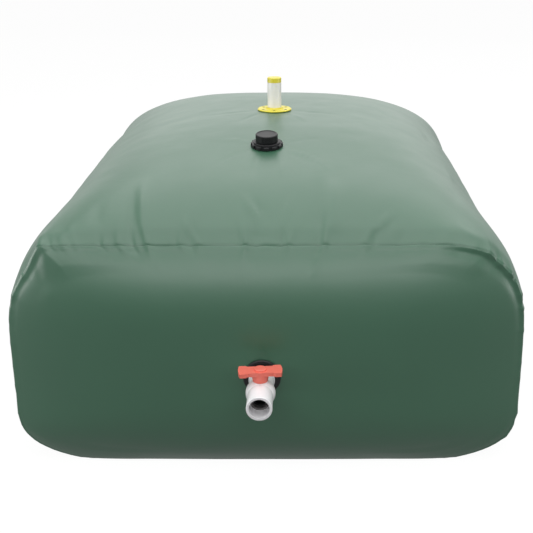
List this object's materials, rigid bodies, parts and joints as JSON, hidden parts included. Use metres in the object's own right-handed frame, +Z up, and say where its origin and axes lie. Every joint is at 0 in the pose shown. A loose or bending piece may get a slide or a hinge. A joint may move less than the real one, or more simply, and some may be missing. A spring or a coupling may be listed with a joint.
{
  "type": "collapsible water tank",
  "caption": "Free-standing collapsible water tank, filled: a pillow-shaped coated-sheet bladder with a front outlet ball valve, a screw-capped fill port and a capped breather pipe on top.",
  "frame": {"origin": "middle of the flat base, on the surface that the tank stands on", "axes": "+X to the right seen from the outlet end, +Y from the outlet to the back, +Z up; the outlet faces -Y"},
  "size_m": [1.216, 1.791, 0.805],
  "materials": {
    "bladder": "satin coated sheet",
    "black": "satin",
    "rubber": "matt",
    "white": "gloss",
    "red": "gloss",
    "ball": "polished",
    "seat": "satin",
    "steel": "brushed",
    "yellow": "satin",
    "pipe": "satin, slightly translucent",
    "screw": "dark oxide"
  },
  "bodies": {
    "tank": {"body_wrap": "bladder", "front_panel": "bladder", "rear_panel": "bladder", "outlet_fitting": "black", "outlet_gasket": "rubber", "outlet_nut": "black", "valve_body": "white", "valve_seat_rear": "seat", "valve_seat_front": "seat", "seat_carrier": "white", "fill_fitting": "black", "fill_gasket": "rubber", "fill_nut": "black", "vent_flange": "yellow", "vent_gasket": "rubber", "vent_backing_ring": "black", "vent_screws": "screw", "vent_pipe": "pipe"},
    "valve_turner": {"valve_ball": "ball", "valve_stem": "white", "stem_seals": "rubber", "valve_handle": "red", "handle_screw": "steel", "handle_button": "red"},
    "fill_cap_lift": {"fill_cap_seal": "rubber"},
    "fill_cap": {"fill_cap": "black"},
    "vent_cap": {"vent_cap": "yellow", "vent_cap_seal": "rubber"}
  },
  "joints": [
    {"name": "valve_turn", "type": "hinge", "parent": "tank", "child": "valve_turner", "pos_m": [-0.009, -0.8975, 0.25], "axis": [0, 0, 1], "range_deg": [-5, 85]},
    {"name": "fill_cap_rise", "type": "slide", "parent": "tank", "child": "fill_cap_lift", "axis": [0, -0.1362, 0.9907], "range_m": [0, 0.016]},
    {"name": "fill_cap_spin", "type": "hinge", "parent": "fill_cap_lift", "child": "fill_cap", "pos_m": [-0.0075, -0.39086, 0.69089], "axis": [0, -0.1362, 0.9907], "range_deg": [0, 1440]},
    {"name": "vent_cap_pull", "type": "slide", "parent": "tank", "child": "vent_cap", "axis": [0, -0.0001, 1], "range_m": [0, 0.05]}
  ],
  "couplings": [
    {"joint": "fill_cap_rise", "follows": "fill_cap_spin", "m_per_rad": 0.00063662}
  ]
}
